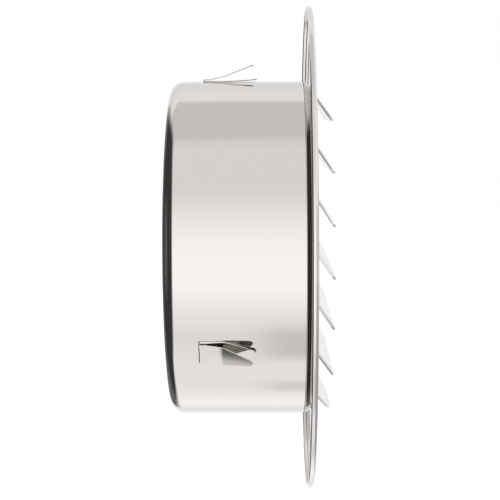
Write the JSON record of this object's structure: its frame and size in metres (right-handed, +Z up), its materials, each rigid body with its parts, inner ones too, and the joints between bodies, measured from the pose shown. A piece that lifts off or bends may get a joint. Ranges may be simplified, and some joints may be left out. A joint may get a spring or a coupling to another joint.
{
  "type": "round louvred air vent",
  "caption": "Round louvred air vent: flanged face plate with sloping louvres on a short duct spigot, held in the duct by hairpin spring clips.",
  "frame": {"origin": "on the vent axis, in the wall plane where the flange's turned-back rim seats", "axes": "+X along the vent axis towards the louvres, -X into the duct; louvres run along Y; +Z up"},
  "size_m": [0.0458, 0.14, 0.14],
  "materials": {
    "polished_stainless": "mirror-polished stainless steel sheet",
    "spring_steel": "bright spring steel strip and wire",
    "screen_wire": "plain woven stainless wire cloth"
  },
  "bodies": {
    "vent": {"face_plate": "polished_stainless", "spigot": "polished_stainless", "fly_screen": "screen_wire", "snap_ring": "spring_steel", "clip_1_base": "spring_steel", "clip_2_base": "spring_steel", "clip_3_base": "spring_steel"},
    "leaf_top": {"clip_1_leaf": "spring_steel"},
    "leaf_front": {"clip_2_leaf": "spring_steel"},
    "leaf_rear": {"clip_3_leaf": "spring_steel"}
  },
  "joints": [
    {"name": "leaf_top_spring", "type": "hinge", "parent": "vent", "child": "leaf_top", "pos_m": [-0.0278, 0, 0.04942], "axis": [0, 1, 0], "range_deg": [0, 17], "stiffness_Nm_per_rad": 0.2},
    {"name": "leaf_front_spring", "type": "hinge", "parent": "vent", "child": "leaf_front", "pos_m": [-0.0278, -0.0428, -0.02471], "axis": [0, -0.5, 0.866], "range_deg": [0, 17], "stiffness_Nm_per_rad": 0.2},
    {"name": "leaf_rear_spring", "type": "hinge", "parent": "vent", "child": "leaf_rear", "pos_m": [-0.0278, 0.0428, -0.02471], "axis": [0, -0.5, -0.866], "range_deg": [0, 17], "stiffness_Nm_per_rad": 0.2}
  ]
}
